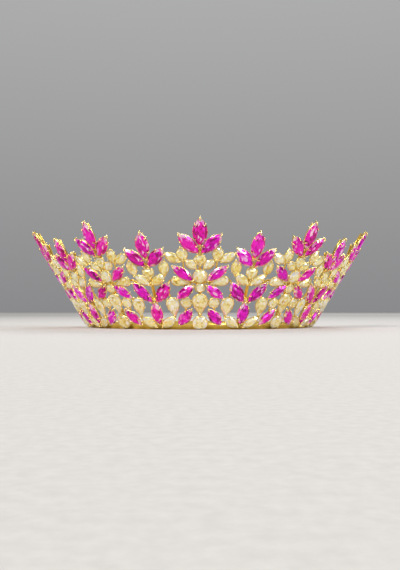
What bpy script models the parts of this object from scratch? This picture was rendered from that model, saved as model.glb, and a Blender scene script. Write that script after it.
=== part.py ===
"""A bridal crown of foiled stones in gilt settings, standing on its own base band.

The crown's wall is a cone that flares out from a flat-footed band.  Big and small peaks take
turns along the front half of it, and the band alone closes the back.  A place on the wall is
given by two lengths: across, along the ring from a peak's centre line, and up, the slant height
from the band.  Tables are in millimetres and everything else is in metres.  The front is -Y.
"""

import math
from typing import NamedTuple

import bmesh
import bpy
from mathutils import Matrix, Vector

MM = 0.001

# Driving dimensions of the wall
BASE_RADIUS = 0.0780
FLARE = math.radians(31.0)
FOOT_DROP = 0.00145
RING_CENTRE = Vector((0.0, 0.0202, 0.0))
PEAK_STEP = math.radians(18.0)
PEAKS_EACH_SIDE = 5

# Layers, counted outwards from the inner face of the wall
WIRE_DEPTH = (0.0000, 0.0014)
STEM_DEPTH = (0.00015, 0.00135)
BRANCH_DEPTH = (0.00020, 0.00130)
RAIL_DEPTH = (0.00025, 0.00125)
SETTING_BACK = 0.0017
LINK_DEPTH = (0.0019, 0.0026)
RAISED_BACK = 0.0029
STONE_MIDDLE = 0.0030

# Wires: two that meet run on past the meeting point, and one lies a little deeper
WIRE_OVERRUN = 0.0004
BAND_TOP = 0.0020
BAND_SIDES = 60
STEM_WIDTH = 0.0018
BRANCH_WIDTH = 0.0015
RAIL_WIDTH = 0.0014
LINK_WIDTH = 0.0013

# Stones: the setting's rim stands outside the glass, and the table is a share of the outline
RIM = 0.00025
TABLE_SHARE = 0.52
SIDES_OF_MAIN_STONES = 8
SIDES_OF_FIELD_STONES = 8


class Stone(NamedTuple):
    """A row of a peak's stones, mirrored to the left unless it lies on the centre line."""

    name: str
    tint: str
    cut: str
    x0: float       # across, at the pointed or inner end
    up0: float
    x1: float       # across, at the rounder or outer end
    up1: float
    width: float
    wall: float     # height of the setting's wall
    crown: float    # height of the cut glass above it


class Wire(NamedTuple):
    """A straight wire or link, mirrored to the left unless it lies on the centre line."""

    x0: float
    up0: float
    x1: float
    up1: float


#     name              tint       cut        x0    up0    x1    up1  width wall crown
BIG_LEAVES = [
    Stone("top_leaf",   "fuchsia", "navette", 0.0,  58.6,  0.0,  77.2, 8.8, 2.0, 1.7),
    Stone("side_leaf",  "fuchsia", "navette", 1.1,  53.7,  12.7, 66.6, 7.7, 2.0, 1.7),
]
SMALL_LEAVES = [
    Stone("top_leaf",   "fuchsia", "navette", 0.0,  50.8,  0.0,  68.6, 8.6, 2.0, 1.7),
    Stone("side_leaf",  "fuchsia", "navette", 1.1,  45.2,  12.2, 57.4, 7.7, 2.0, 1.7),
]
MAIN_STONES = [
    Stone("x_upper",    "fuchsia", "navette", 4.5,  35.7,  16.4, 46.0, 6.3, 1.7, 1.6),
    Stone("x_lower",    "fuchsia", "navette", 3.5,  32.5,  14.5, 23.0, 6.2, 1.7, 1.6),
    Stone("middle_round", "jonquil", "round", 0.0,  34.9,  0.0,  43.1, 8.2, 1.7, 1.6),
    Stone("big_pear",   "jonquil", "pear",    0.0,  11.7,  0.0,  26.5, 9.0, 1.7, 1.7),
    Stone("base_round", "jonquil", "round",   0.0,  1.2,   0.0,  10.4, 9.2, 1.7, 1.6),
]
BIG_FIELD = [
    Stone("under_peak", "jonquil", "pear",    0.0,  44.9,  0.0,  52.3, 7.0, 1.6, 1.2),
    Stone("ear",        "jonquil", "navette", 9.6,  49.0,  11.8, 57.6, 6.2, 1.6, 1.2),
    Stone("wing",       "jonquil", "navette", 12.5, 48.0,  21.1, 53.8, 5.8, 1.6, 1.2),
    Stone("inner",      "jonquil", "navette", 2.2,  43.5,  8.6,  49.0, 5.2, 1.6, 1.2),
    Stone("small_round", "jonquil", "round",  0.0,  27.3,  0.0,  33.3, 6.0, 1.6, 1.2),
    Stone("side_pear",  "jonquil", "pear",    5.7,  33.2,  17.3, 35.8, 6.0, 1.6, 1.2),
    Stone("shoulder",   "jonquil", "round",   8.4,  16.4,  8.4,  23.0, 6.6, 1.6, 1.2),
    Stone("base_navette", "fuchsia", "navette", 4.8, 15.0, 13.6, 3.4,  7.0, 1.7, 1.4),
]
SMALL_FIELD = [
    Stone("under_peak", "jonquil", "pear",    0.0,  35.9,  0.0,  43.9, 7.2, 1.6, 1.2),
    Stone("ear",        "jonquil", "navette", 9.6,  39.1,  11.3, 49.2, 6.2, 1.6, 1.2),
    Stone("wing",       "jonquil", "navette", 0.7,  32.6,  9.7,  39.0, 5.8, 1.6, 1.2),
    Stone("fork",       "fuchsia", "navette", 1.8,  20.0,  11.7, 34.2, 7.6, 1.7, 1.4),
    Stone("drop",       "fuchsia", "navette", 0.0,  4.1,   0.0,  20.4, 7.8, 1.7, 1.4),
    Stone("foot",       "jonquil", "navette", 1.6,  2.0,   11.3, 9.0,  6.0, 1.6, 1.2),
    Stone("flank",      "jonquil", "pear",    11.7, 9.8,   11.1, 23.2, 7.9, 1.6, 1.4),
]

#    x0    up0   x1    up1
BIG_LINKS = [
    Wire(0.0,  6.0,  0.0,  48.0),
    Wire(10.2, 48.8, 8.7,  9.5),
    Wire(0.0,  33.9, 9.6,  34.2),
    Wire(7.4,  48.6, 13.6, 49.4),
]
SMALL_LINKS = [
    Wire(0.0,  6.0,  0.0,  38.5),
    Wire(0.0,  22.8, 4.6,  24.0),
    Wire(0.0,  7.2,  5.6,  5.4),
    Wire(9.6,  30.4, 11.2, 20.0),
]
BIG_BRANCHES = [
    Wire(0.0,  52.6, 11.0, 64.8),
]
SMALL_BRANCHES = [
    Wire(0.0,  44.0, 10.7, 55.8),
]
STEM_FOOT = 0.8
BIG_STEM_TOP = 75.0
SMALL_STEM_TOP = 66.5
RAIL_AT_BIG_STEM = 32.0
RAIL_BEND = (18.3, 35.0)
RAIL_AT_SMALL_STEM = 18.5
END_RAIL = [(15.0, 1.0), (13.4, 17.0), (11.8, 33.0), (10.4, 56.0)]

# name: colour, metallic, roughness
FINISHES = {
    "gilt_brass": ((0.83, 0.60, 0.24), 1.0, 0.25),
    "fuchsia_glass": ((0.80, 0.01, 0.55), 0.1, 0.08),
    "jonquil_glass": ((0.86, 0.75, 0.42), 0.1, 0.08),
}


def clear_scene():
    """Start from an empty scene."""
    for item in list(bpy.data.objects):
        bpy.data.objects.remove(item)


def make_material(name):
    """A Principled material from the table of finishes."""
    colour, metallic, roughness = FINISHES[name]
    material = bpy.data.materials.new(name)
    material.use_nodes = True
    shader = material.node_tree.nodes["Principled BSDF"]
    shader.inputs["Base Color"].default_value = (*colour, 1.0)
    shader.inputs["Metallic"].default_value = metallic
    shader.inputs["Roughness"].default_value = roughness
    return material


def azimuth_of(across, up):
    """Angle round the ring of a place across from a peak's centre line."""
    return across / (BASE_RADIUS + up * math.sin(FLARE) + STONE_MIDDLE * math.cos(FLARE))


def wall_plane(azimuth, up, out=0.0):
    """The plane that touches the wall at one place: X runs sideways, Y uphill and Z outwards."""
    sideways = Vector((math.cos(azimuth), math.sin(azimuth), 0.0))
    front = Vector((math.sin(azimuth), -math.cos(azimuth), 0.0))
    uphill = front * math.sin(FLARE) + Vector((0.0, 0.0, math.cos(FLARE)))
    outward = sideways.cross(uphill)
    origin = front * BASE_RADIUS + uphill * up + outward * out
    origin.z += FOOT_DROP
    plane = Matrix((sideways, uphill, outward)).transposed().to_4x4()
    plane.translation = origin
    return plane


def navette_outline(length, width, sides):
    """A boat shape, pointed at both ends, about the origin with its length along Y."""
    half = sides // 2
    right = []
    for step in range(half + 1):
        share = 2.0 * step / half - 1.0
        right.append((width / 2 * (1.0 - share**2), length / 2 * share))
    left = [(-x, y) for x, y in reversed(right[1:-1])]
    return right + left


def pear_outline(length, width, sides):
    """A drop shape with its point at the low end of Y and its round end at the high end."""
    radius = width / 2
    reach = length - radius
    tangent = math.pi - math.acos(radius / reach)
    centre = length / 2 - radius
    outline = [(0.0, -length / 2)]
    for step in range(sides - 1):
        angle = tangent - 2 * tangent * step / (sides - 2)
        outline.append((radius * math.sin(angle), centre + radius * math.cos(angle)))
    return outline


def round_outline(length, width, sides):
    """A circle with the given number of sides, flat at the top."""
    outline = []
    for step in range(sides):
        angle = 2 * math.pi * (step + 0.5) / sides
        outline.append((width / 2 * math.sin(angle), -length / 2 * math.cos(angle)))
    return outline


OUTLINES = {"navette": navette_outline, "pear": pear_outline, "round": round_outline}


def stone_plane(stone, side, back):
    """Where a stone sits: a touching plane at its middle, turned so that Y runs along it."""
    start = Vector((side * stone.x0, stone.up0)) * MM
    end = Vector((side * stone.x1, stone.up1)) * MM
    middle = (start + end) / 2
    along = end - start
    turn = Matrix.Rotation(math.atan2(-along.x, along.y), 4, "Z")
    return wall_plane(azimuth_of(middle.x, middle.y), middle.y, back) @ turn


def add_stone(mesh, stone, plane, sides):
    """Add a setting's wall with a cut stone in it: facets slope from the girdle to the table."""
    length = math.hypot(stone.x1 - stone.x0, stone.up1 - stone.up0) * MM + 2 * RIM
    outline = OUTLINES[stone.cut](length, stone.width * MM + 2 * RIM, sides)
    levels = [
        (1.0, 0.0),
        (1.0, stone.wall * MM),
        (TABLE_SHARE, (stone.wall + stone.crown) * MM),
    ]
    rings = []
    for share, height in levels:
        rings.append([mesh.verts.new(plane @ Vector((x * share, y * share, height))) for x, y in outline])
    add_sides(mesh, rings)


def add_sides(mesh, rings):
    """Close a stack of rings of corners with sides, a floor and a lid."""
    count = len(rings[0])
    for low, high in zip(rings, rings[1:]):
        for here in range(count):
            after = (here + 1) % count
            mesh.faces.new((low[here], low[after], high[after], high[here]))
    mesh.faces.new(list(reversed(rings[0])))
    mesh.faces.new(rings[-1])


def add_wire(mesh, start, end, width, depth):
    """Add a flat wire between two places, each an azimuth and a height up the wall."""
    planes = [wall_plane(*start), wall_plane(*end)]
    along = (planes[1].translation - planes[0].translation).normalized()
    near, far = depth
    rings = []
    for plane, overrun in zip(planes, (-WIRE_OVERRUN, WIRE_OVERRUN)):
        outward = plane.to_3x3().col[2]
        sideways = along.cross(outward).normalized() * (width / 2)
        centre = plane.translation + along * overrun
        corners = [
            centre - sideways + outward * near,
            centre - sideways + outward * far,
            centre + sideways + outward * far,
            centre + sideways + outward * near,
        ]
        rings.append([mesh.verts.new(corner) for corner in corners])
    add_sides(mesh, rings)


def add_table_wires(mesh, table, peak_azimuth, width, depth):
    """Add a table of wires to both sides of a peak."""
    for wire in table:
        for side in sides_of(wire):
            ends = []
            for x, up in ((wire.x0, wire.up0), (wire.x1, wire.up1)):
                azimuth = azimuth_of(side * x * MM, up * MM)
                ends.append((peak_azimuth + azimuth, up * MM))
            add_wire(mesh, ends[0], ends[1], width, depth)


def sides_of(row):
    """The sides of the centre line that a row of a table stands for."""
    return (1,) if row.x0 == row.x1 == 0.0 else (-1, 1)


def finish_object(name, mesh, material, parent, plane=None):
    """Turn a bmesh into a named object under its peak's empty."""
    bmesh.ops.recalc_face_normals(mesh, faces=mesh.faces)
    data = bpy.data.meshes.new(name)
    mesh.to_mesh(data)
    mesh.free()
    data.materials.append(material)
    item = bpy.data.objects.new(name, data)
    bpy.context.collection.objects.link(item)
    item.parent = parent
    if plane is not None:
        item.matrix_local = plane
    return item


def fuse(item, guide):
    """Join an object's overlapping shells, and the guide's shell, into one body."""
    guide.hide_render = True
    guide.display_type = "WIRE"
    join = item.modifiers.new("fuse", "BOOLEAN")
    join.operation = "UNION"
    join.solver = "EXACT"
    join.use_self = True
    join.object = guide


def make_ring_centre():
    """The empty on the crown's axis that everything hangs from."""
    centre = bpy.data.objects.new("ring_centre", None)
    centre.location = RING_CENTRE
    bpy.context.collection.objects.link(centre)
    return centre


def make_peak(number, ring_centre):
    """The empty that turns a peak to its place round the ring."""
    peak = bpy.data.objects.new(f"peak_{number}", None)
    peak.parent = ring_centre
    peak.rotation_euler.z = (number - PEAKS_EACH_SIDE) * PEAK_STEP
    bpy.context.collection.objects.link(peak)
    return peak


def make_single_stones(peak, number, table, back, glass):
    """Stones that are objects of their own, each with its setting."""
    for stone in table:
        for side in sides_of(stone):
            word = {1: "right_", -1: "left_"}[side] if len(sides_of(stone)) == 2 else ""
            mesh = bmesh.new()
            add_stone(mesh, stone, Matrix(), SIDES_OF_MAIN_STONES)
            plane = stone_plane(stone, side, back)
            finish_object(f"{word}{stone.name}_{number}", mesh, glass[stone.tint], peak, plane)


def make_field(peak, number, table, links, glass):
    """All the other stones of a peak, fused with their settings into one openwork body."""
    mesh = bmesh.new()
    for stone in table[1:]:
        for side in sides_of(stone):
            add_stone(mesh, stone, stone_plane(stone, side, SETTING_BACK), SIDES_OF_FIELD_STONES)
    add_table_wires(mesh, links, 0.0, LINK_WIDTH, LINK_DEPTH)
    field = finish_object(f"stone_field_{number}", mesh, glass["jonquil"], peak)
    first = bmesh.new()
    add_stone(first, table[0], stone_plane(table[0], 1, SETTING_BACK), SIDES_OF_FIELD_STONES)
    guide = finish_object(f"first_stone_{number}", first, glass["jonquil"], peak)
    fuse(field, guide)


def add_band(mesh):
    """Add the base band: a flat-footed hoop that leans with the wall."""
    lean = math.tan(FLARE)
    foot_radius = BASE_RADIUS - FOOT_DROP * lean
    foot_width = (WIRE_DEPTH[1] - WIRE_DEPTH[0]) / math.cos(FLARE)
    rise = BAND_TOP * math.cos(FLARE) + FOOT_DROP
    section = [
        (foot_radius, 0.0),
        (foot_radius + foot_width, 0.0),
        (foot_radius + foot_width + rise * lean, rise),
        (foot_radius + rise * lean, rise),
    ]
    rings = []
    for step in range(BAND_SIDES):
        angle = 2 * math.pi * step / BAND_SIDES
        ring = [mesh.verts.new((r * math.sin(angle), -r * math.cos(angle), z)) for r, z in section]
        rings.append(ring)
    for here, after in zip(rings, rings[1:] + rings[:1]):
        for low in range(4):
            high = (low + 1) % 4
            mesh.faces.new((here[low], here[high], after[high], after[low]))


def make_frame(ring_centre, gilt):
    """The soldered gilt frame: base band, stems, branches, rails and the panel's two ends."""
    mesh = bmesh.new()
    for number in range(-PEAKS_EACH_SIDE, PEAKS_EACH_SIDE + 1):
        azimuth = number * PEAK_STEP
        is_big = number % 2 == 0
        top = BIG_STEM_TOP if is_big else SMALL_STEM_TOP
        add_wire(mesh, (azimuth, STEM_FOOT * MM), (azimuth, top * MM), STEM_WIDTH, STEM_DEPTH)
        branches = BIG_BRANCHES if is_big else SMALL_BRANCHES
        add_table_wires(mesh, branches, azimuth, BRANCH_WIDTH, BRANCH_DEPTH)
        if is_big:
            add_rails(mesh, azimuth)
    for side in (-1, 1):
        last = side * PEAKS_EACH_SIDE * PEAK_STEP
        places = []
        for x, up in END_RAIL:
            places.append((last + azimuth_of(side * x * MM, up * MM), up * MM))
        depths = (BRANCH_DEPTH, RAIL_DEPTH, BRANCH_DEPTH)
        for start, end, depth in zip(places, places[1:], depths):
            add_wire(mesh, start, end, RAIL_WIDTH, depth)
    frame = finish_object("frame", mesh, gilt, ring_centre)
    hoop = bmesh.new()
    add_band(hoop)
    fuse(frame, finish_object("band_hoop", hoop, gilt, ring_centre))


def add_rails(mesh, azimuth):
    """Add the bent rail from a big peak's stem to the stems of its small neighbours."""
    for side in (-1, 1):
        bend_azimuth = azimuth_of(RAIL_BEND[0] * MM, RAIL_BEND[1] * MM)
        stem = (azimuth, RAIL_AT_BIG_STEM * MM)
        bend = (azimuth + side * bend_azimuth, RAIL_BEND[1] * MM)
        neighbour = (azimuth + side * PEAK_STEP, RAIL_AT_SMALL_STEM * MM)
        add_wire(mesh, stem, bend, RAIL_WIDTH, RAIL_DEPTH)
        add_wire(mesh, bend, neighbour, RAIL_WIDTH, BRANCH_DEPTH)


def main():
    """Build the crown."""
    clear_scene()
    gilt = make_material("gilt_brass")
    glass = {"fuchsia": make_material("fuchsia_glass"), "jonquil": make_material("jonquil_glass")}
    ring_centre = make_ring_centre()
    make_frame(ring_centre, gilt)
    for number in range(2 * PEAKS_EACH_SIDE + 1):
        peak = make_peak(number, ring_centre)
        is_middle = number == PEAKS_EACH_SIDE
        is_big = (number - PEAKS_EACH_SIDE) % 2 == 0
        make_single_stones(peak, number, BIG_LEAVES if is_big else SMALL_LEAVES, SETTING_BACK, glass)
        if is_middle:
            make_single_stones(peak, number, MAIN_STONES, RAISED_BACK, glass)
            make_field(peak, number, BIG_FIELD, BIG_LINKS, glass)
        elif is_big:
            make_field(peak, number, BIG_FIELD + MAIN_STONES, BIG_LINKS, glass)
        else:
            make_field(peak, number, SMALL_FIELD, SMALL_LINKS, glass)


main()
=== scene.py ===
# %% [markdown]
# # A bridal crown of foiled stones
#
# The real crown is made of three things: a soldered frame of gilt brass, cup settings with
# claws, and cut glass stones with a foil at their back.  The stones come in two colours,
# fuchsia and the pale yellow that stone setters call jonquil, and in three cuts: the navette,
# pointed at both ends, the pear and the round.  This script dresses the imported model of the
# crown, so it starts by loading that model and putting each part's place into its points.

import bpy
import numpy as np
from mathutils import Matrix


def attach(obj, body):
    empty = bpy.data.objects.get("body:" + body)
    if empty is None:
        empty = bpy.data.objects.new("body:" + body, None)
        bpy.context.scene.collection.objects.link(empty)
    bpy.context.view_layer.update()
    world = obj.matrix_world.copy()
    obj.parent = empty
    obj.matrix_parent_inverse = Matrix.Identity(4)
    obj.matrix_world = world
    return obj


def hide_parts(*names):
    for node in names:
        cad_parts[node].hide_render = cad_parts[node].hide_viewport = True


MM = 0.001
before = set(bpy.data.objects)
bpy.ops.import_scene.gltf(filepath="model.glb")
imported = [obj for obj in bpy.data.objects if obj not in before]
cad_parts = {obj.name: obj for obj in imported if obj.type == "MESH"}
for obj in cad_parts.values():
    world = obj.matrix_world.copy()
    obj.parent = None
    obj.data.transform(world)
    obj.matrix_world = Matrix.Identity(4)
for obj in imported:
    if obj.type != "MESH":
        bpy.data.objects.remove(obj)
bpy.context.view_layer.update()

# %% [markdown]
# ## The wall as a formula
#
# Every piece lies on one cone that flares out from the base band.  A place on it needs only
# two lengths, across from a peak's centre line and up the slope, and a third one, out from
# the wall, for the layers: frame wires first, then settings.  One function turns arrays of
# such places into world points and gives the three directions there, so no piece needs to be
# turned or moved afterwards.

# %% Places on the flared wall
BASE_RADIUS = 78.0 * MM
FLARE = np.radians(31.0)
FOOT_DROP = 1.45 * MM
RING_CENTRE_Y = 20.2 * MM
STONE_MIDDLE = 3.0 * MM


def azimuth_of(across, up):
    """Angle round the ring: the length across divided by the ring's radius at that height."""
    return across / (BASE_RADIUS + up * np.sin(FLARE) + STONE_MIDDLE * np.cos(FLARE))


def wall_axes(azimuth):
    """Unit directions sideways, uphill and outwards at each azimuth, as an (n, 3, 3) array."""
    azimuth = np.asarray(azimuth, float)
    zero = np.zeros_like(azimuth)
    sideways = np.stack([np.cos(azimuth), np.sin(azimuth), zero], -1)
    front = np.stack([np.sin(azimuth), -np.cos(azimuth), zero], -1)
    uphill = front * np.sin(FLARE) + np.array([0.0, 0.0, np.cos(FLARE)])
    outward = np.cross(sideways, uphill)
    return np.stack([sideways, uphill, outward], -2)


def wall_points(azimuth, up, out):
    """World points: the base circle, plus up times uphill, plus out times outwards."""
    azimuth, up, out = np.broadcast_arrays(np.asarray(azimuth, float), up, out)
    axes = wall_axes(azimuth)
    front = np.stack([np.sin(azimuth), -np.cos(azimuth), np.zeros_like(azimuth)], -1)
    points = front * BASE_RADIUS + axes[..., 1, :] * up[..., None] + axes[..., 2, :] * out[..., None]
    return points + np.array([0.0, RING_CENTRE_Y, FOOT_DROP])


print("front of the base circle in mm:", np.round(wall_points(0.0, 0.0, 0.0) / MM, 1).tolist())

# %% [markdown]
# ## Eleven peaks
#
# A big and a small peak take turns round the front of the crown, a fixed step apart, with a
# big one in the middle.  They are numbered from left to right, as seen from the front.

# %% Peaks round the ring
PEAK_STEP = np.radians(18.0)
PEAKS_EACH_SIDE = 5
PEAKS = range(2 * PEAKS_EACH_SIDE + 1)


def peak_azimuth(number):
    """Angle of a peak's centre line: whole steps from the middle peak."""
    return (number - PEAKS_EACH_SIDE) * PEAK_STEP


def is_big_peak(number):
    """Whether a peak is an even number of steps from the middle one, which is big."""
    return (number - PEAKS_EACH_SIDE) % 2 == 0


print("big peaks:", [number for number in PEAKS if is_big_peak(number)], "of", len(PEAKS))

# %% [markdown]
# ## Where the stones sit
#
# Each table lists one half of a peak: a stone on the centre line stands once, and any other
# is mirrored.  The first place is the stone's pointed or inner end, and the wall and crown
# are the heights of the setting up to the girdle and of the stone above it.  The measures
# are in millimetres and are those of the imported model, whose solids the finished pieces will
# replace.

# %% Tables of stones
#    name            tint       cut        x0    up0   x1    up1   width wall crown
BIG_LEAVES = [
    ("top_leaf",     "fuchsia", "navette", 0.0,  58.6, 0.0,  77.2, 8.8, 2.0, 1.7),
    ("side_leaf",    "fuchsia", "navette", 1.1,  53.7, 12.7, 66.6, 7.7, 2.0, 1.7),
]
SMALL_LEAVES = [
    ("top_leaf",     "fuchsia", "navette", 0.0,  50.8, 0.0,  68.6, 8.6, 2.0, 1.7),
    ("side_leaf",    "fuchsia", "navette", 1.1,  45.2, 12.2, 57.4, 7.7, 2.0, 1.7),
]
MAIN_STONES = [
    ("x_upper",      "fuchsia", "navette", 4.5,  35.7, 16.4, 46.0, 6.3, 1.7, 1.6),
    ("x_lower",      "fuchsia", "navette", 3.5,  32.5, 14.5, 23.0, 6.2, 1.7, 1.6),
    ("middle_round", "jonquil", "round",   0.0,  34.9, 0.0,  43.1, 8.2, 1.7, 1.6),
    ("big_pear",     "jonquil", "pear",    0.0,  11.7, 0.0,  26.5, 9.0, 1.7, 1.7),
    ("base_round",   "jonquil", "round",   0.0,  1.2,  0.0,  10.4, 9.2, 1.7, 1.6),
]
BIG_FIELD = [
    ("under_peak",   "jonquil", "pear",    0.0,  44.9, 0.0,  52.3, 7.0, 1.6, 1.2),
    ("ear",          "jonquil", "navette", 9.6,  49.0, 11.8, 57.6, 6.2, 1.6, 1.2),
    ("wing",         "jonquil", "navette", 12.5, 48.0, 21.1, 53.8, 5.8, 1.6, 1.2),
    ("inner",        "jonquil", "navette", 2.2,  43.5, 8.6,  49.0, 5.2, 1.6, 1.2),
    ("small_round",  "jonquil", "round",   0.0,  27.3, 0.0,  33.3, 6.0, 1.6, 1.2),
    ("side_pear",    "jonquil", "pear",    5.7,  33.2, 17.3, 35.8, 6.0, 1.6, 1.2),
    ("shoulder",     "jonquil", "round",   8.4,  16.4, 8.4,  23.0, 6.6, 1.6, 1.2),
    ("base_navette", "fuchsia", "navette", 4.8,  15.0, 13.6, 3.4,  7.0, 1.7, 1.4),
]
SMALL_FIELD = [
    ("under_peak",   "jonquil", "pear",    0.0,  35.9, 0.0,  43.9, 7.2, 1.6, 1.2),
    ("ear",          "jonquil", "navette", 9.6,  39.1, 11.3, 49.2, 6.2, 1.6, 1.2),
    ("wing",         "jonquil", "navette", 0.7,  32.6, 9.7,  39.0, 5.8, 1.6, 1.2),
    ("fork",         "fuchsia", "navette", 1.8,  20.0, 11.7, 34.2, 7.6, 1.7, 1.4),
    ("drop",         "fuchsia", "navette", 0.0,  4.1,  0.0,  20.4, 7.8, 1.7, 1.4),
    ("foot",         "jonquil", "navette", 1.6,  2.0,  11.3, 9.0,  6.0, 1.6, 1.2),
    ("flank",        "jonquil", "pear",    11.7, 9.8,  11.1, 23.2, 7.9, 1.6, 1.4),
]
print("rows for a big peak:", len(BIG_LEAVES + MAIN_STONES + BIG_FIELD),
      "and for a small one:", len(SMALL_LEAVES + SMALL_FIELD))

# %% [markdown]
# ## From rows to places
#
# A row gives a stone's two ends.  Its middle is placed on the wall, and its length axis is the
# line between the ends, laid in the wall's own directions there.  Everything about a group of
# stones is kept as arrays, one row for each stone, so that a whole peak is shaped at once.

# %% Groups of stones
SETTING_BACK = 1.7 * MM
RAISED_BACK = 2.9 * MM
SIDE_WORDS = {1: "right_", -1: "left_"}


def stones_of(table, number, back):
    """Rows of a peak's table as arrays, mirrored to the left where they are off the centre line."""
    rows = []
    for name, tint, cut, x0, up0, x1, up1, *sizes in table:
        sides = (1,) if x0 == x1 == 0.0 else (-1, 1)
        for side in sides:
            word = "" if len(sides) == 1 else SIDE_WORDS[side]
            rows.append((word + name, tint, cut, side * x0, up0, side * x1, up1, *sizes))
    lengths = np.array([row[3:] for row in rows]) * MM
    start, end = lengths[:, 0:2], lengths[:, 2:4]
    middle = (start + end) / 2
    along = end - start
    length = np.linalg.norm(along, axis=1)
    along = along / length[:, None]
    azimuth = peak_azimuth(number) + azimuth_of(middle[:, 0], middle[:, 1])
    sideways, uphill, outward = np.moveaxis(wall_axes(azimuth), -2, 0)
    length_axis = sideways * along[:, :1] + uphill * along[:, 1:]
    return {
        "names": [f"{row[0]}_{number}" for row in rows],
        "tint": np.array([row[1] for row in rows]),
        "cut": np.array([row[2] for row in rows]),
        "origin": wall_points(azimuth, middle[:, 1], back),
        "axes": np.stack([np.cross(length_axis, outward), length_axis, outward], 1),
        "size": np.stack([lengths[:, 4], length, lengths[:, 5], lengths[:, 6]], 1),
    }


def joined(*groups):
    """Several groups of stones as one."""
    return {key: sum((g[key] for g in groups), []) if key == "names"
            else np.concatenate([g[key] for g in groups]) for key in groups[0]}


def chosen(group, mask):
    """The stones of a group that a mask picks."""
    return {key: [n for n, keep in zip(value, mask) if keep] if key == "names" else value[mask]
            for key, value in group.items()}


print("leaves of the middle peak:", stones_of(BIG_LEAVES, PEAKS_EACH_SIDE, SETTING_BACK)["names"])

# %% [markdown]
# ## Three cuts from three curves
#
# The girdle is the widest line round a cut stone.  Each cut has a closed curve for it, read
# at any share of a full turn, starting at the point.  The pear's curve is an oval thinned
# towards its point, and divided by its own widest place so that it fills its width.

# %% Girdle curves
TURN = 2 * np.pi
PEAR_THINNING = 1.25
PEAR_WIDEST = 0.735


def girdle(cut, turns):
    """Points in a unit box: y falls as a cosine from the point, x follows the cut's own rule."""
    angle = TURN * np.asarray(turns, float)
    y = -0.5 * np.cos(angle)
    if cut == "navette":
        x = 0.5 * np.sin(angle) * np.abs(np.sin(angle))
    elif cut == "pear":
        fullness = np.abs(np.sin(angle / 2)) ** PEAR_THINNING
        x = 0.5 * np.sin(angle) * fullness / PEAR_WIDEST
    else:
        x = 0.5 * np.sin(angle)
    return np.stack([x, y], -1)


for cut in ("navette", "pear", "round"):
    print(cut, "spans", np.round(np.ptp(girdle(cut, np.linspace(0.0, 1.0, 193)), axis=0), 3).tolist())

# %% [markdown]
# ## Rings of corners
#
# A stone's rings of corners are its girdle curve again, drawn smaller for each ring higher
# up, and the facets are the flat faces between the rings.  A pear's rings shrink towards a
# place a little nearer its round end, so its table sits there.  A unit shape is made once for
# each cut and then stretched to every stone's size and set in its place.

# %% Rings set in their places
SHRINK_CENTRE = {"navette": 0.0, "pear": 0.07, "round": 0.0}


def ring_of(cut, turns, share, level, grow=0.0):
    """A ring of corners: the girdle curve shrunk to a share of itself, at one level.

    Levels run from 0 at the setting's back to 1 at the girdle and 2 at the table.  The last
    number says by how many metres the ring stands outside the stone's own size."""
    centre = np.array([0.0, SHRINK_CENTRE[cut]])
    flat = centre + (girdle(cut, turns) - centre) * share
    return np.concatenate([flat, np.tile([level, grow], (len(flat), 1))], 1)


def place(unit, group):
    """Copies of a unit shape, one for each stone, stretched to its size and set in its place."""
    width, length, wall, crown = group["size"].T
    x, y, level, grow = unit.T[:, None]
    height = np.minimum(level, 1.0) * wall[:, None] + np.maximum(level - 1.0, 0.0) * crown[:, None]
    local = np.stack([x * (width[:, None] + 2 * grow), y * (length[:, None] + 2 * grow), height], -1)
    return group["origin"][:, None] + np.einsum("nmi,nij->nmj", local, group["axes"])


print("four corners of a pear's girdle:", np.round(ring_of("pear", np.arange(4) / 4, 1.0, 1.0), 2).tolist())

# %% [markdown]
# ## Faces between rings
#
# Cups, wires and beads are all made of rings, so they share a few small helpers: a strip of
# four-sided faces between two rings, a lid over one ring, a closed drum made of both, and the
# numbering that repeats a shape's faces for each of its copies.

# %% Strips and lids
def numbered(faces, corners, copies):
    """The faces of one shape, numbered on for each of its copies."""
    faces = np.asarray(faces)
    return (faces[None] + corners * np.arange(copies)[:, None, None]).reshape(-1, faces.shape[1])


def strip(low, high, sides):
    """Four-sided faces between two rings of the same count, numbered from low and from high."""
    side = np.arange(sides)
    after = (side + 1) % sides
    return np.stack([low + side, low + after, high + after, high + side], 1)


def lid(first, sides, upward=True):
    """One flat face over a whole ring."""
    order = np.arange(sides)
    return (first + (order if upward else order[::-1]))[None]


def drum(rings, sides):
    """The faces of a closed shape: a strip between each two rings, and a lid at both ends."""
    strips = [strip(low * sides, (low + 1) * sides, sides) for low in range(rings - 1)]
    return strips + [lid(0, sides, upward=False), lid((rings - 1) * sides, sides)]


print("faces of a drum of three rings of six:", sum(len(faces) for faces in drum(3, 6)))

# %% [markdown]
# ## Facets
#
# Each stone has a girdle ring of sixteen corners, then three rings of eight, turned half a
# step against each other.  That gives the small facets at the girdle, the large kites above
# them and the table on top.  All of them are flat and real, so each catches the lamps in its
# own way.

# %% Facets of one stone
SIDES = 16
HALF = SIDES // 2
GLASS_GROW = 0.16 * MM
#                     share level
KITE_RING = (0.80, 1.62)
TABLE_RING = (0.60, 1.98)
STAR_RING = (0.30, 2.06)


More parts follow.
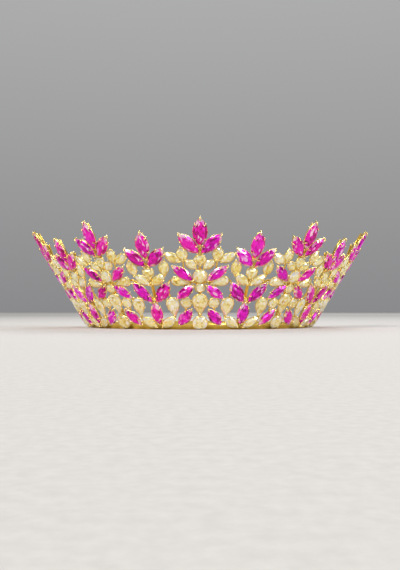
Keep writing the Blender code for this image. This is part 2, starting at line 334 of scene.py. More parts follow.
def stone_shape(cut):
    """Corners and flat facets of one stone: three-sided facets from the girdle up to the innermost
    ring, a lid over that for the table's middle, and one below for the back."""
    every = np.arange(SIDES) / SIDES
    even, odd = every[0::2], every[1::2]
    corners = np.concatenate([
        ring_of(cut, every, 1.00, 1.00, GLASS_GROW),
        ring_of(cut, odd, *KITE_RING),
        ring_of(cut, even, *TABLE_RING),
        ring_of(cut, odd, *STAR_RING),
    ])
    kite, table, star = SIDES, SIDES + HALF, SIDES + 2 * HALF
    half = np.arange(HALF)
    after = (half + 1) % HALF
    wide, wide_after = 2 * half, (2 * half + 2) % SIDES
    triangles = [
        np.stack([wide, wide + 1, kite + half], 1),
        np.stack([wide + 1, wide_after, kite + half], 1),
        np.stack([kite + half, wide_after, kite + after], 1),
        np.stack([kite + half, kite + after, table + after], 1),
        np.stack([table + half, kite + half, table + after], 1),
        np.stack([table + half, table + after, star + half], 1),
        np.stack([star + half, table + after, star + after], 1),
    ]
    return corners, triangles, [lid(star, HALF), lid(0, SIDES, upward=False)]


print("facets of one stone, with its back:", sum(len(faces) for faces in sum(stone_shape("round")[1:], [])))

# %% [markdown]
# ## Light from the foil
#
# A foiled stone is bright because light goes in at the top, off the foil at the back and out
# again, and each facet sends out another part of the room.  Tracing that for two hundred
# stones would be slow and would not survive export, so the light is painted: each facet
# carries two numbers, how much painted light it sends back and how warm that light is.  The
# material turns them into a colour.  The numbers come from one seeded series.  A few facets
# get a painted glint, a navette gets a painted highlight at its outer point, and round stones
# are clearer than the others.

# %% Cut stones with their light
facet_dice = np.random.default_rng(11)
# the least and the most light of each set of facets, from the girdle to the table and the back
FACET_LIGHT = {
    "fuchsia": [
        (0.30, 1.00), (0.15, 0.85), (0.20, 0.95), (0.10, 0.70), (0.30, 0.80),
        (0.38, 0.66), (0.36, 0.64), (0.46, 0.60), (0.10, 0.10)],
    "jonquil": [
        (0.58, 1.00), (0.48, 0.95), (0.43, 0.95), (0.22, 0.84), (0.33, 0.88),
        (0.27, 0.70), (0.23, 0.65), (0.38, 0.64), (0.10, 0.10)],
}
FLASH_SHARE = 0.06
FLASH_LIGHT = 1.00
STONE_SPREAD = 0.22
TIP_HIGHLIGHT = 0.45
TIP_START = 0.45
TIP_FADE = 0.40
CLEARNESS = {"navette": 0.0, "pear": 0.15, "round": 0.45}
STONE_WARMTH = 0.8
FACET_WARMTH = 0.3


def cut_stones(group, cut, tint):
    """All the stones of one cut and colour, with painted light.  A facet's painted light is a throw
    of dice between its set's two ends, plus its stone's own share, raised towards a navette's outer
    point as a painted highlight.  Its warmth is its stone's own, a little spread."""
    corners, triangles, lids = stone_shape(cut)
    count = len(group["size"])
    stone_warmth = facet_dice.random((count, 1)) - CLEARNESS[cut]
    stone_light = STONE_SPREAD * (facet_dice.random((count, 1)) - 0.5)
    faces, light, warmth = [], [], []
    for shape, (least, most) in zip(triangles + lids, FACET_LIGHT[tint]):
        throw = facet_dice.random((3, count, len(shape)))
        thrown = least + (most - least) * throw[0] + stone_light
        # a few facets get a painted glint at full light
        value = np.where(throw[1] < FLASH_SHARE, FLASH_LIGHT, thrown)
        # painted highlight towards a navette's outer point
        reach = corners[shape].mean(1)[:, 1] / 0.5
        tip_highlight = TIP_HIGHLIGHT * np.clip((reach - TIP_START) / TIP_FADE, 0.0, 1.0)
        faces.append(numbered(shape, len(corners), count))
        light.append((value + (tip_highlight if cut == "navette" else 0.0)).ravel())
        warmth.append(np.clip(stone_warmth * STONE_WARMTH + throw[2] * FACET_WARMTH, 0.0, 1.0).ravel())
    points = place(corners, group).reshape(-1, 3)
    return {"points": points, "faces": faces, "light": light, "warmth": warmth, "slot": f"{tint}_glass"}


print("sets of facets with a light of their own:", {tint: len(rows) for tint, rows in FACET_LIGHT.items()})

# %% [markdown]
# ## Cup settings
#
# Each stone stands in a stamped brass cup.  Its wall is the girdle curve carried up a short
# profile: a foot, a wall that widens a little, and a rolled rim under the girdle.  The rim
# shows as a gold line, a broad one round a pale stone and a fine one round a fuchsia stone.
# The cup is a closed shape, because it is also seen from inside the crown.

# %% Cups
#    share level grow
CUP_PROFILES = {
    "fuchsia": [
        (0.82, 0.00, 0.00 * MM), (1.00, 0.62, 0.20 * MM), (1.00, 0.96, 0.27 * MM), (0.97, 1.04, 0.10 * MM)],
    "jonquil": [
        (0.82, 0.00, 0.00 * MM), (1.00, 0.62, 0.28 * MM), (1.00, 1.06, 0.48 * MM), (0.97, 1.16, 0.12 * MM)],
}
# painted shade and polish of the wall's three strips, of the back and of the lid under the stone: darker low
# in the cup and under the stone, brightest at the rim
CUP_LIGHT = [0.35, 0.75, 1.00, 0.45, 0.3]


def cups(group, cut, tint):
    """Cups for stones of one cut and colour: the girdle curve carried along the profile."""
    turns = np.arange(SIDES) / SIDES
    profile = CUP_PROFILES[tint]
    corners = np.concatenate([ring_of(cut, turns, *row) for row in profile])
    faces = [numbered(shape, len(corners), len(group["size"])) for shape in drum(len(profile), SIDES)]
    return {"points": place(corners, group).reshape(-1, 3), "faces": faces, "light": CUP_LIGHT}


print("rims stand out by", {tint: round(max(row[2] for row in rows) / MM, 2) for tint, rows in
                            CUP_PROFILES.items()}, "mm")

# %% [markdown]
# ## Round wire
#
# Claws, links and the frame are drawn wire.  A wire is a circle carried along a path, or an
# ellipse where the wire is flattened: at each point of the path it lies square to the
# direction of travel.  The function takes a whole stack of paths at once, so a thousand claws
# cost no more code than one.

# %% Wires along paths
def tubes(paths, radii, reference, sides, depth=1.0, light=0.5):
    """Ellipses carried along (n, p, 3) paths, with a flat lid at each end.

    One axis of the ellipse is the path's direction crossed with the reference, and it has the
    full radius; the other is square to both, and depth is its share of the radius."""
    paths = np.asarray(paths, float)
    radii = np.broadcast_to(np.asarray(radii, float), paths.shape[:2])[:, :, None, None]
    along = np.gradient(paths, axis=1)
    along /= np.linalg.norm(along, axis=-1, keepdims=True)
    first = np.cross(along, np.broadcast_to(reference, paths.shape))
    first /= np.linalg.norm(first, axis=-1, keepdims=True)
    second = np.cross(along, first)
    angle = TURN * np.arange(sides) / sides
    circle = np.cos(angle)[:, None] * first[:, :, None] + depth * np.sin(angle)[:, None] * second[:, :, None]
    points = (paths[:, :, None] + circle * radii).reshape(-1, 3)
    count, steps = paths.shape[:2]
    faces = [numbered(shape, steps * sides, count) for shape in drum(steps, sides)]
    return {"points": points, "faces": faces, "light": [light] * len(faces)}


sample_wire = tubes([[(0, 0, 0), (0, 0, MM)]], 0.5 * MM, (1.0, 0.0, 0.0), sides=8)
print("a straight wire of two rings has", len(sample_wire["points"]), "points")

# %% [markdown]
# ## Claws
#
# The claws hold a stone by its girdle.  Navettes and pears have a stronger one over each
# point, because a point chips first.  They are bent wires that rise beside the cup and lie
# down on the stone's crown, and they are what makes the gaps between the stones look gold.

# %% Claws over the girdle
CLAW_TURNS = {
    "navette": np.array([0.0, 0.16, 0.34, 0.5, 0.66, 0.84]),
    "pear": np.array([0.0, 0.24, 0.40, 0.60, 0.76]),
    "round": np.array([0.0625, 0.3125, 0.5625, 0.8125]),
}
POINT_TURNS = {"navette": (0.0, 0.5), "pear": (0.0,), "round": ()}
#            share level grow
CLAW_PATH = [(1.00, 0.10, 0.05 * MM), (1.00, 0.90, 0.22 * MM), (1.00, 1.30, 0.18 * MM),
             (0.92, 1.66, 0.0), (0.80, 1.80, 0.0)]
CLAW_RADII = np.array([0.26, 0.32, 0.34, 0.30, 0.20]) * MM
POINT_CLAW_RADII = np.array([0.34, 0.46, 0.52, 0.46, 0.28]) * MM
CLAW_SIDES = 5
# claws are painted bright: painted highlight as well as polish
CLAW_LIGHT = 0.9


def claws(group, cut):
    """Claws of all the stones of one cut, each a wire along the claw path at its own turn."""
    turns = CLAW_TURNS[cut]
    rows = np.stack([ring_of(cut, turns, *row) for row in CLAW_PATH], 1)
    shape = (len(group["size"]), len(turns), len(CLAW_PATH))
    paths = place(rows.reshape(-1, 4), group).reshape(*shape, 3)
    at_point = np.isin(turns, POINT_TURNS[cut])[None, :, None]
    radii = np.broadcast_to(np.where(at_point, POINT_CLAW_RADII, CLAW_RADII), shape)
    inward = group["origin"][:, None, None] - paths
    beside = np.cross(inward, np.broadcast_to(group["axes"][:, None, None, 2], paths.shape))
    count = shape[0] * shape[1]
    paths, beside = paths.reshape(count, -1, 3), beside.reshape(count, -1, 3)
    return tubes(paths, radii.reshape(count, -1), beside, CLAW_SIDES, light=CLAW_LIGHT)


print("claws on each cut:", {cut: len(turns) for cut, turns in CLAW_TURNS.items()})

# %% [markdown]
# ## Links behind the stones
#
# Behind the stones runs the wire that carries them: the links of each field of settings, and
# behind those the frame.  All of it follows the wall, so its paths are given as places on the
# wall and turned into world points step by step, which bends the wire round the ring.

# %% Wires on the wall
#             x0    up0   x1    up1
BIG_LINKS = [(0.0, 6.0, 0.0, 48.0), (10.2, 48.8, 8.7, 9.5), (0.0, 33.9, 9.6, 34.2), (7.4, 48.6, 13.6, 49.4)]
SMALL_LINKS = [(0.0, 6.0, 0.0, 38.5), (0.0, 22.8, 4.6, 24.0), (0.0, 7.2, 5.6, 5.4), (9.6, 30.4, 11.2, 20.0)]
LINK_OUT = 2.25 * MM
LINK_RADIUS = 0.55 * MM
PATH_STEPS = 9
WIRE_SIDES = 8
# wires behind the stones are painted darker: painted shade as well as a duller polish
WIRE_LIGHT = 0.55


def both_sides(rows, flip):
    """Rows of a table in metres, with a mirrored copy of each row that is off the centre line."""
    rows = np.atleast_2d(rows) * MM
    off_centre = np.any(rows[:, flip] != 0, axis=1)
    return np.concatenate([rows, rows[off_centre] * np.where(np.isin(np.arange(rows.shape[1]), flip), -1, 1)])


def wall_wires(azimuth, up, out, radius, depth=1.0):
    """Wires whose paths are given as azimuths and heights up the wall, one row for each wire."""
    outward = wall_axes(azimuth)[..., 2, :]
    return tubes(wall_points(azimuth, up, out), radius, outward, WIRE_SIDES, depth, WIRE_LIGHT)


def peak_wires(table, number, out, radius, depth=1.0):
    """Straight wires of a peak's table: both lengths change evenly along the wire."""
    rows = both_sides(table, [0, 2])
    share = np.linspace(0.0, 1.0, PATH_STEPS)
    across = rows[:, :1] + (rows[:, 2:3] - rows[:, :1]) * share
    up = rows[:, 1:2] + (rows[:, 3:4] - rows[:, 1:2]) * share
    return wall_wires(peak_azimuth(number) + azimuth_of(across, up), up, out, radius, depth)


print("links behind a big peak:", len(both_sides(BIG_LINKS, [0, 2])),
      "and a small one:", len(both_sides(SMALL_LINKS, [0, 2])))

# %% [markdown]
# ## Solder beads
#
# Where wires meet, the solder runs together into a small smooth bead.  A bead is a ball made
# of four rings of latitude, squeezed a little towards the wall, and it hides the plain end
# of a wire as the real one does.

# %% Beads at the joints
#             x     up   radius
BIG_BEADS = [(10.3, 48.9, 1.5), (0.0, 11.3, 1.5), (0.0, 33.9, 1.1), (2.6, 43.6, 1.0), (8.9, 15.6, 1.0),
             (4.6, 34.1, 0.9)]
SMALL_BEADS = [(0.0, 21.4, 1.5), (0.0, 33.4, 1.3), (9.9, 38.9, 1.2), (0.0, 3.4, 1.0), (11.2, 9.9, 1.0)]
BEAD_OUT = 2.6 * MM
BIG_LEAF_BEADS = [(0.0, 57.4, 1.2), (0.0, 53.4, 1.3)]
SMALL_LEAF_BEADS = [(0.0, 49.4, 1.3), (0.0, 44.9, 1.3)]
LEAF_BEAD_OUT = 2.2 * MM
BEAD_SIDES = 8
BEAD_LATITUDES = np.radians([-54.0, -18.0, 18.0, 54.0])
BEAD_FLATNESS = 0.7
BEAD_LIGHT = 0.8


def solder_beads(table, number, out):
    """Flattened balls at places on the wall: rings of a sphere's latitudes, squeezed outwards."""
    rows = both_sides(table, [0])
    azimuth = peak_azimuth(number) + azimuth_of(rows[:, 0], rows[:, 1])
    around = TURN * np.arange(BEAD_SIDES) / BEAD_SIDES
    unit = np.stack([
        np.cos(BEAD_LATITUDES)[:, None] * np.cos(around),
        np.cos(BEAD_LATITUDES)[:, None] * np.sin(around),
        BEAD_FLATNESS * np.sin(BEAD_LATITUDES)[:, None] * np.ones(BEAD_SIDES),
    ], -1).reshape(-1, 3)
    local = unit[None] * rows[:, None, 2:3]
    centres = wall_points(azimuth, rows[:, 1], out)
    points = centres[:, None] + np.einsum("nmi,nij->nmj", local, wall_axes(azimuth))
    faces = [numbered(shape, len(unit), len(rows)) for shape in drum(len(BEAD_LATITUDES), BEAD_SIDES)]
    return {"points": points.reshape(-1, 3), "faces": faces, "light": [BEAD_LIGHT] * len(faces)}


print("beads behind a big peak:", len(both_sides(BIG_BEADS, [0])),
      "and a small one:", len(both_sides(SMALL_BEADS, [0])))

# %% [markdown]
# ## Colours and one way to add nodes
#
# Colours are picked as the hex values a paint program shows, and a shader works with linear
# light, so one function turns the first into the second.  Another adds a node with its
# values and links, which keeps each material a short list of what it is made of.

# %% Helpers for materials
def linear(hex_colour):
    """An sRGB hex value as linear light: a power curve, with a short straight part near black."""
    srgb = np.array([int(hex_colour[at:at + 2], 16) for at in (1, 3, 5)]) / 255
    light = np.where(srgb <= 0.04045, srgb / 12.92, ((srgb + 0.055) / 1.055) ** 2.4)
    return (*light.tolist(), 1.0)


def add_node(material, kind, settings=None, values=None, links=None, stops=None):
    """Add a node to a material: its settings, its sockets' values, what feeds them, its colour stops."""
    tree = material.node_tree
    node = tree.nodes.new(kind)
    for name, value in (settings or {}).items():
        setattr(node, name, value)
    for socket, value in (values or {}).items():
        node.inputs[socket].default_value = value
    for socket, source in (links or {}).items():
        tree.links.new(source, node.inputs[socket])
    if stops:
        while len(node.color_ramp.elements) < len(stops):
            node.color_ramp.elements.new(0.5)
        for element, (position, colour) in zip(node.color_ramp.elements, sorted(stops)):
            element.position = position
            element.color = linear(colour)
    return node


def new_material(name):
    """An empty material with only its output, and that output's surface socket to be linked."""
    material = bpy.data.materials.new(name)
    material.use_nodes = True
    material.node_tree.nodes.clear()
    return material, add_node(material, "ShaderNodeOutputMaterial")


def per_metre(size):
    """A pattern's scale from the real size of one of its features."""
    return 1.0 / size


print("half of the hex scale is", round(linear("#808080")[0], 3), "of the light")

# %% [markdown]
# ## Gilt brass
#
# The metal is brass, stamped and drawn, polished in a tumbling barrel and then gilt with a
# thin bath of gold.  The eye gets a warm yellow mirror with soft edges.  Each part's number is
# painted light and polish together: the rims and claws are painted brighter and made glossier,
# and the cup feet and wires down between the stones get painted shade and a duller polish.  The
# tumbling leaves faint dents of about half a millimetre, and the bath leaves clouds of a few
# millimetres.

# %% Metal of the settings and the frame
BATH_CLOUD = 2.5 * MM
BATH_SHARE = 0.45
TUMBLE_DENT = 0.5 * MM
DENT_DEPTH = 0.05 * MM

gilt, gilt_output = new_material("gilt_brass_tumbled")
place_on_piece = add_node(gilt, "ShaderNodeTexCoord").outputs["Object"]
facet = add_node(gilt, "ShaderNodeAttribute", {"attribute_name": "facet"}).outputs["Vector"]
# each part's number: painted shade low between the stones, painted brighter on rims and claws, and polish
painted_light_and_polish = add_node(gilt, "ShaderNodeSeparateXYZ", links={"Vector": facet}).outputs["X"]
bath = add_node(gilt, "ShaderNodeTexNoise", values={"Scale": per_metre(BATH_CLOUD), "Detail": 3.0},
                links={"Vector": place_on_piece}).outputs["Fac"]
tone = add_node(gilt, "ShaderNodeMath", {"operation": "MULTIPLY_ADD"}, {1: BATH_SHARE},
                {0: bath, 2: painted_light_and_polish}).outputs[0]
gold = add_node(gilt, "ShaderNodeValToRGB", links={"Fac": tone}, stops=[
    (0.35, "#B89042"), (0.60, "#E4BC52"), (0.85, "#F6D466"), (1.00, "#FBE596")])
dull = add_node(gilt, "ShaderNodeMapRange", values={"To Min": 0.42, "To Max": 0.20}, links={"Value": tone})
dents = add_node(gilt, "ShaderNodeTexNoise", values={"Scale": per_metre(TUMBLE_DENT), "Detail": 2.0},
                 links={"Vector": place_on_piece}).outputs["Fac"]
dented = add_node(gilt, "ShaderNodeBump", values={"Strength": 0.25, "Distance": DENT_DEPTH},
                  links={"Height": dents})
metal = add_node(gilt, "ShaderNodeBsdfPrincipled", values={"Metallic": 1.0}, links={
    "Base Color": gold.outputs["Color"], "Roughness": dull.outputs["Result"],
    "Normal": dented.outputs["Normal"]})
gilt.node_tree.links.new(metal.outputs["BSDF"], gilt_output.inputs["Surface"])
print(gilt.name, "has", len(gilt.node_tree.nodes), "nodes")

# %% [markdown]
# ## Foiled glass
#
# The stones are lead glass, pressed and fire polished, with a silver foil at the back.  So
# the eye gets a deep clear colour that comes from behind, cut up by the back facets into
# small bright and dark patches, under a hard wet gloss.  The facet's painted light gives most
# of the colour.  A pattern of cells between one and two millimetres wide is painted reflection:
# it stands for the light of the back facets seen through the front ones, and a thin clear coat
# adds to the gloss.  The foil makes the body part metallic, and the IOR is that of lead glass.

# %% Glass of the stones
BACK_FACET = 1.6 * MM
BACK_REFLECTION_SHARE = 0.40
LEAD_GLASS_IOR = 1.56


def foiled_glass(name, clear, warm):
    """Glass whose colour follows the facet's painted light plus a share of the painted reflection of
    the back facets, and lies between a clear and a warm row of colours by the facet's warmth."""
    glass, output = new_material(name)
    where = add_node(glass, "ShaderNodeTexCoord").outputs["Object"]
    facet = add_node(glass, "ShaderNodeAttribute", {"attribute_name": "facet"}).outputs["Vector"]
    numbers = add_node(glass, "ShaderNodeSeparateXYZ", links={"Vector": facet}).outputs
    # cells of painted reflection: the light of the back facets seen through the front ones
    back = add_node(glass, "ShaderNodeTexVoronoi", values={"Scale": per_metre(BACK_FACET)},
                    links={"Vector": where})
    painted_back_reflection = add_node(glass, "ShaderNodeMath", {"operation": "MULTIPLY_ADD"},
                     {1: BACK_REFLECTION_SHARE, 2: -BACK_REFLECTION_SHARE / 2}, {0: back.outputs["Color"]}).outputs[0]
    light = add_node(glass, "ShaderNodeMath", {"operation": "ADD"},
                     links={0: numbers["X"], 1: painted_back_reflection}).outputs[0]
    rows = [add_node(glass, "ShaderNodeValToRGB", links={"Fac": light}, stops=stops)
            for stops in (clear, warm)]
    colour = add_node(glass, "ShaderNodeMix", {"data_type": "RGBA"}, links={
        0: numbers["Y"], 6: rows[0].outputs["Color"], 7: rows[1].outputs["Color"]}).outputs[2]
    surface = add_node(glass, "ShaderNodeBsdfPrincipled", values={
        "Metallic": 0.60, "Roughness": 0.16, "IOR": LEAD_GLASS_IOR, "Coat Weight": 0.15,
        "Coat Roughness": 0.03, "Coat IOR": LEAD_GLASS_IOR}, links={"Base Color": colour})
    glass.node_tree.links.new(surface.outputs["BSDF"], output.inputs["Surface"])
    return glass


FINISHES = {
    "gilt_brass": gilt,
    "fuchsia_glass": foiled_glass(
        "fuchsia_lead_glass_foiled",
        [(0.00, "#300024"), (0.25, "#9A0084"), (0.50, "#EC00DC"), (0.78, "#FF18F0"), (1.00, "#FFC8F4")],
        [(0.00, "#460018"), (0.25, "#A80054"), (0.50, "#F000A8"), (0.78, "#FF28C4"), (1.00, "#FFD4E4")]),
    "jonquil_glass": foiled_glass(
        "jonquil_lead_glass_foiled",
        [(0.00, "#8B6D22"), (0.20, "#D8BA48"), (0.42, "#FEEFA4"), (0.66, "#FFFBD4"), (0.95, "#FFFFFF")],
        [(0.00, "#976B0E"), (0.20, "#E6B230"), (0.42, "#FFE778"), (0.66, "#FFF6B4"), (0.95, "#FFFFF0")]),
}
SLOTS = list(FINISHES)
print("finishes:", {slot: finish.name for slot, finish in FINISHES.items()})

# %% [markdown]
# ## From arrays to objects
#
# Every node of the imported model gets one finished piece, which stands for it in the picture
# while the plain solid stays for the physics.  A piece is one mesh: the parts' points are
# stacked, and each part's faces are moved on by the points before it.  The metal is shaded
# smooth and the glass flat, facet by facet.

# %% Stacking parts into one mesh
LOWEST = 0.02 * MM


def stacked(parts):
    """The parts' faces as flat lists: corners, sides and slot of each face, and at each corner the
    face's light and warmth."""
    starts = np.cumsum([0] + [len(part["points"]) for part in parts])
    corners, sizes, slots, numbers = [], [], [], []
    for start, part in zip(starts, parts):
        warmths = part.get("warmth", [0.0] * len(part["faces"]))
        for faces, light, warmth in zip(part["faces"], part["light"], warmths):
            corners.append((faces + start).ravel())
            sizes.append(np.full(len(faces), faces.shape[1]))
            slots.append(np.full(len(faces), SLOTS.index(part.get("slot", "gilt_brass"))))
            pair = np.stack([np.broadcast_to(light, len(faces)), np.broadcast_to(warmth, len(faces))], 1)
            numbers.append(np.repeat(pair, faces.shape[1], axis=0))
    return [np.concatenate(column) for column in (corners, sizes, slots, numbers)]


def mesh_of(name, parts):
    """One mesh from several parts, none of it below the crown's foot, and its number of triangles."""
    corners, sizes, slots, numbers = stacked(parts)
    points = np.concatenate([part["points"] for part in parts])
    points[:, 2] = np.maximum(points[:, 2], LOWEST)
    mesh = bpy.data.meshes.new(name)
    mesh.vertices.add(len(points))
    mesh.vertices.foreach_set("co", points.ravel())
    mesh.loops.add(len(corners))
    mesh.polygons.add(len(sizes))
    mesh.polygons.foreach_set("loop_start", np.cumsum(sizes) - sizes)
    mesh.polygons.foreach_set("vertices", corners)
    for slot in SLOTS:
        mesh.materials.append(FINISHES[slot])
    mesh.polygons.foreach_set("material_index", slots)
    mesh.polygons.foreach_set("use_smooth", slots == SLOTS.index("gilt_brass"))
    mesh.update(calc_edges=True)
    facet_numbers = np.pad(numbers, ((0, 0), (0, 1))).ravel()
    mesh.attributes.new("facet", "FLOAT_VECTOR", "CORNER").data.foreach_set("vector", facet_numbers)
    return mesh, int((sizes - 2).sum())


print("lowest point that a piece may reach:", LOWEST / MM, "mm")

# %% [markdown]
# ## A piece for each node
#
# A finished piece hides its node and rides on the crown's one body.  The stones of a group
# go into one piece together, cut by cut and colour by colour, each with its cup and claws.

# %% Pieces and their stones
triangle_counts = {}


def make_piece(node, parts):
    """A finished piece from several parts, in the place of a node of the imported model."""
    mesh, triangle_counts[node] = mesh_of(f"dressed_{node}", parts)
    piece = bpy.data.objects.new(f"dressed_{node}", mesh)
    bpy.context.scene.collection.objects.link(piece)
    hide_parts(node)
    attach(piece, "root")


def set_stones(group):
    """Cups, claws and cut stones for every stone of a group, cut by cut and colour by colour."""
    parts = []
    for cut in CLAW_TURNS:
        for tint in CUP_PROFILES:
            same = chosen(group, (group["cut"] == cut) & (group["tint"] == tint))
            if same["names"]:
                parts += [cups(same, cut, tint), claws(same, cut), cut_stones(same, cut, tint)]
    return parts


print("order of the stones in a piece:", [(cut, tint) for cut in CLAW_TURNS for tint in CUP_PROFILES])

# %% [markdown]
# ## Dressing the eleven peaks
#
# The leaves of every peak, and all the main stones of the middle one, are pieces of their
# own.  The other stones of a peak are one field, soldered to the links behind them.

# %% Dress the peaks
for number in PEAKS:
    big = is_big_peak(number)
    singles = [stones_of(BIG_LEAVES if big else SMALL_LEAVES, number, SETTING_BACK)]
    field = stones_of(BIG_FIELD if big else SMALL_FIELD, number, SETTING_BACK)
    if number == PEAKS_EACH_SIDE:
        singles.append(stones_of(MAIN_STONES, number, RAISED_BACK))
    elif big:
        field = joined(field, stones_of(MAIN_STONES, number, SETTING_BACK))
    for group in singles:
        for at, name in enumerate(group["names"]):
            one = chosen(group, np.arange(len(group["names"])) == at)
            make_piece(name, set_stones(one))
    links = peak_wires(BIG_LINKS if big else SMALL_LINKS, number, LINK_OUT, LINK_RADIUS)
    beads = solder_beads(BIG_BEADS if big else SMALL_BEADS, number, BEAD_OUT)
    make_piece(f"stone_field_{number}", set_stones(field) + [links, beads])
print(len(triangle_counts), "pieces with stones,", sum(triangle_counts.values()), "triangles")

# %% [markdown]
# ## The base band
#
# The crown stands on a flat band of sheet brass, which leans with the wall.  Its section is a
# leaning box with rounded corners, carried once round the ring as one closed strip.  The
# stones end just past the two sides of the ring, and the band alone closes it behind.

# %% Base band
BAND_HEIGHT = 2.0 * MM
BAND_SHEET = 1.4 * MM
BAND_RISE = BAND_HEIGHT * np.cos(FLARE) + FOOT_DROP
BAND_FOOT = BASE_RADIUS - FOOT_DROP * np.tan(FLARE)
BAND_THICKNESS = BAND_SHEET / np.cos(FLARE)
BAND_STEPS = 240
BAND_SIDES = 16
BAND_LIGHT = 0.6
EDGE_ROUND = 0.30 * MM


def base_band():
    """The band's leaning section, with rounded corners, carried round the ring as one strip."""
    angle = TURN * (np.arange(BAND_SIDES) + 0.5) / BAND_SIDES
    box = np.array([BAND_THICKNESS / 2, BAND_RISE / 2])
    circle = np.stack([np.cos(angle), np.sin(angle)], 1)
    section = np.sign(circle) * (box - EDGE_ROUND) + circle * EDGE_ROUND + box
    radius = BAND_FOOT + section[:, 0] + section[:, 1] * np.tan(FLARE)
    turn = TURN * np.arange(BAND_STEPS)[:, None] / BAND_STEPS
    points = np.stack([
        radius * np.sin(turn), -radius * np.cos(turn) + RING_CENTRE_Y, section[:, 1] + 0 * turn], -1)
    step = np.arange(BAND_STEPS)[:, None] * BAND_SIDES
    step_after = np.roll(step, -1, axis=0)
    side = np.arange(BAND_SIDES)
    after = (side + 1) % BAND_SIDES
    faces = np.stack([step + side, step_after + side, step_after + after, step + after], -1)
    return {"points": points.reshape(-1, 3), "faces": [faces.reshape(-1, 4)], "light": [BAND_LIGHT]}


print("band:", round(BAND_RISE / MM, 2), "mm high and", round(BAND_THICKNESS / MM, 2), "mm thick")

# %% [markdown]
# ## Stems, branches and rails
#
# Behind each peak a stem rises from the band, drawn flatter than it is wide, so that the
# settings sit well on it.  A pair of branches forks off to the side leaves.  A rail bends
# from stem to stem and keeps them apart, and another closes each end of the stone panel.

# %% The frame behind the stones
#             x0   up0   x1    up1
STEMS = {True: (0.0, 0.8, 0.0, 75.0), False: (0.0, 0.8, 0.0, 66.5)}
BRANCHES = {True: (0.0, 52.6, 11.0, 64.8), False: (0.0, 44.0, 10.7, 55.8)}
#                x     up
RAIL = np.array([(0.0, 32.0), (18.3, 35.0)]) * MM
RAIL_AT_SMALL_STEM = 18.5 * MM
END_RAIL = np.array([(15.0, 1.0), (13.4, 17.0), (11.8, 33.0), (10.4, 56.0)]) * MM
WIRE_OUT = 0.75 * MM
STEM_RADIUS, STEM_DEPTH = 0.9 * MM, 0.66
BRANCH_RADIUS, BRANCH_DEPTH = 0.72 * MM, 0.76
RAIL_RADIUS, RAIL_DEPTH = 0.66 * MM, 0.76


def rail_through(azimuths, ups):
    """A rail along one even path through a few places, a straight run between each two."""
    at = np.linspace(0, len(ups) - 1, PATH_STEPS * (len(ups) - 1))
    azimuth = np.interp(at, np.arange(len(ups)), azimuths)[None]
    up = np.interp(at, np.arange(len(ups)), ups)[None]
    return wall_wires(azimuth, up, WIRE_OUT, RAIL_RADIUS, RAIL_DEPTH)


wires = [base_band()]
for number in PEAKS:
    big, peak = is_big_peak(number), peak_azimuth(number)
    wires.append(peak_wires(STEMS[big], number, WIRE_OUT, STEM_RADIUS, STEM_DEPTH))
    wires.append(peak_wires(BRANCHES[big], number, WIRE_OUT, BRANCH_RADIUS, BRANCH_DEPTH))
    wires.append(solder_beads(BIG_LEAF_BEADS if big else SMALL_LEAF_BEADS, number, LEAF_BEAD_OUT))
    for side in (-1, 1) if big else ():
        azimuths = [peak, peak + side * azimuth_of(*RAIL[1]), peak + side * PEAK_STEP]
        wires.append(rail_through(azimuths, [RAIL[0, 1], RAIL[1, 1], RAIL_AT_SMALL_STEM]))
for side in (-1, 1):
    last_peak = PEAKS_EACH_SIDE * PEAK_STEP
    azimuths = side * (last_peak + azimuth_of(END_RAIL[:, 0], END_RAIL[:, 1]))
    wires.append(rail_through(azimuths, END_RAIL[:, 1]))
make_piece("frame", wires)
print("frame:", triangle_counts["frame"], "triangles")

# %% [markdown]
# ## Floor
#
# A plain pale sheet of matt card stands for the studio floor.  Its fibres are drawn much
# coarser than real ones, because those would not show.  Its tone has painted light in it: a
# painted pool of light near the crown, painted shade further out, and a paler far edge, so
# that edge doesn't stand out against the air.

# %% Studio floor
FLOOR_REACH = 4.0
CARD_FIBRE = 1.5 * MM

card, card_output = new_material("pale_matt_card")
card_place = add_node(card, "ShaderNodeTexCoord").outputs["Object"]
fibre = add_node(card, "ShaderNodeTexNoise", values={"Scale": per_metre(CARD_FIBRE), "Detail": 2.0},
                 links={"Vector": card_place}).outputs["Fac"]
shade = add_node(card, "ShaderNodeValToRGB", links={"Fac": fibre}, stops=[(0.3, "#D0CECB"), (0.7, "#D8D6D3")])
away = add_node(card, "ShaderNodeVectorMath", {"operation": "LENGTH"}, links={0: card_place}).outputs["Value"]
share = add_node(card, "ShaderNodeMath", {"operation": "DIVIDE"}, {1: FLOOR_REACH}, {0: away}).outputs[0]
# painted pool of light near the crown, painted shade further out, paler again at the far edge
painted_light_pool = add_node(card, "ShaderNodeValToRGB", links={"Fac": share}, stops=[
    (0.05, "#FFFFFF"), (0.30, "#CCCCCC"), (1.00, "#EEEEEE")])
toned = add_node(card, "ShaderNodeMix", {"data_type": "RGBA", "blend_type": "MULTIPLY"}, {0: 1.0}, {
    6: shade.outputs["Color"], 7: painted_light_pool.outputs["Color"]}).outputs[2]
paper = add_node(card, "ShaderNodeBsdfPrincipled", values={"Roughness": 0.9}, links={"Base Color": toned})
card.node_tree.links.new(paper.outputs["BSDF"], card_output.inputs["Surface"])

floor_corners = [(x * FLOOR_REACH, y * FLOOR_REACH, 0) for x, y in ((-1, -1), (1, -1), (1, 1), (-1, 1))]
floor_mesh = bpy.data.meshes.new("studio_floor")
floor_mesh.from_pydata(floor_corners, [], [(0, 1, 2, 3)])
floor_mesh.materials.append(card)
floor = bpy.data.objects.new("studio_floor", floor_mesh)
bpy.context.scene.collection.objects.link(floor)
print("floor:", 2 * FLOOR_REACH, "m square")

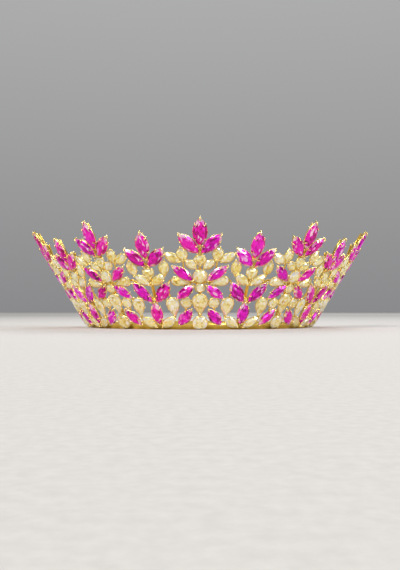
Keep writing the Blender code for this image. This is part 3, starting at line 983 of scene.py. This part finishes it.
# %% [markdown]
# ## Light
#
# Large soft lamps light the crown from both sides and from behind, and two small ones give
# the stones their points of light, as a jeweller's window does.  The air around is pale and
# even, a little darker at the horizon, where it meets the far end of the floor.

# %% Air and lamps
AIR_STRENGTH = 0.50
LAMPS_AIM = np.array([0.0, 0.0, 0.03])

world = bpy.data.worlds.new("studio_air")
world.use_nodes = True
air_height = add_node(world, "ShaderNodeSeparateXYZ", links={
    "Vector": add_node(world, "ShaderNodeTexCoord").outputs["Generated"]}).outputs["Z"]
air = add_node(world, "ShaderNodeValToRGB", links={"Fac": air_height}, stops=[
    (0.0, "#BEBEC0"), (0.6, "#FFFFFF")])
background = world.node_tree.nodes["Background"]
world.node_tree.links.new(air.outputs["Color"], background.inputs["Color"])
background.inputs["Strength"].default_value = AIR_STRENGTH
bpy.context.scene.world = world


def add_lamp(name, place_at, size, power, colour="#FFFFFF"):
    """A square soft lamp that faces the crown: tilted from straight down, then turned."""
    lamp = bpy.data.lights.new(name, "AREA")
    lamp.size, lamp.energy, lamp.color = size, power, linear(colour)[:3]
    item = bpy.data.objects.new(name, lamp)
    item.location = place_at
    aim = LAMPS_AIM - np.array(place_at)
    item.rotation_euler = (np.arccos(-aim[2] / np.linalg.norm(aim)), 0.0, np.arctan2(-aim[0], aim[1]))
    bpy.context.scene.collection.objects.link(item)
    print(name, "shines with", power, "W from", round(float(np.linalg.norm(aim)), 2), "m away")


add_lamp("key_lamp", (-1.35, -2.00, 1.75), 0.90, 45.0, "#FFF8EE")
add_lamp("fill_lamp", (2.00, -1.40, 0.95), 0.90, 23.0, "#F2F6FF")
add_lamp("back_lamp", (0.60, 2.00, 1.90), 1.10, 26.0)
add_lamp("left_spark", (-0.60, -1.50, 0.70), 0.08, 3.0)
add_lamp("right_spark", (0.75, -1.55, 1.00), 0.08, 3.0)

# %% [markdown]
# ## Camera
#
# The photograph looks at the crown from below its rim, which no camera above a floor can do.
# So this one stands as low as it can, straight in front, and looks slightly up.  Its lens and
# its distance are close to those fitted to the photograph.

# %% Camera straight in front
FOCAL_PIXELS = 730.0
PICTURE_WIDTH = 400.0
CAMERA_HEIGHT = 0.012
CAMERA_DISTANCE = 0.52
LOOK_UP = 2.0

camera_data = bpy.data.cameras.new("camera")
camera_data.sensor_fit = "HORIZONTAL"
camera_data.sensor_width = 36.0
camera_data.lens = camera_data.sensor_width * FOCAL_PIXELS / PICTURE_WIDTH
camera_data.clip_start = 0.01
camera = bpy.data.objects.new("camera", camera_data)
camera.location = (0.0, -CAMERA_DISTANCE, CAMERA_HEIGHT)
camera.rotation_euler = (np.radians(90.0 + LOOK_UP), 0.0, 0.0)
bpy.context.scene.collection.objects.link(camera)
bpy.context.scene.camera = camera
bpy.context.scene.view_settings.view_transform = "Standard"
print("lens:", round(camera_data.lens, 1), "mm on a sensor", camera_data.sensor_width, "mm wide")
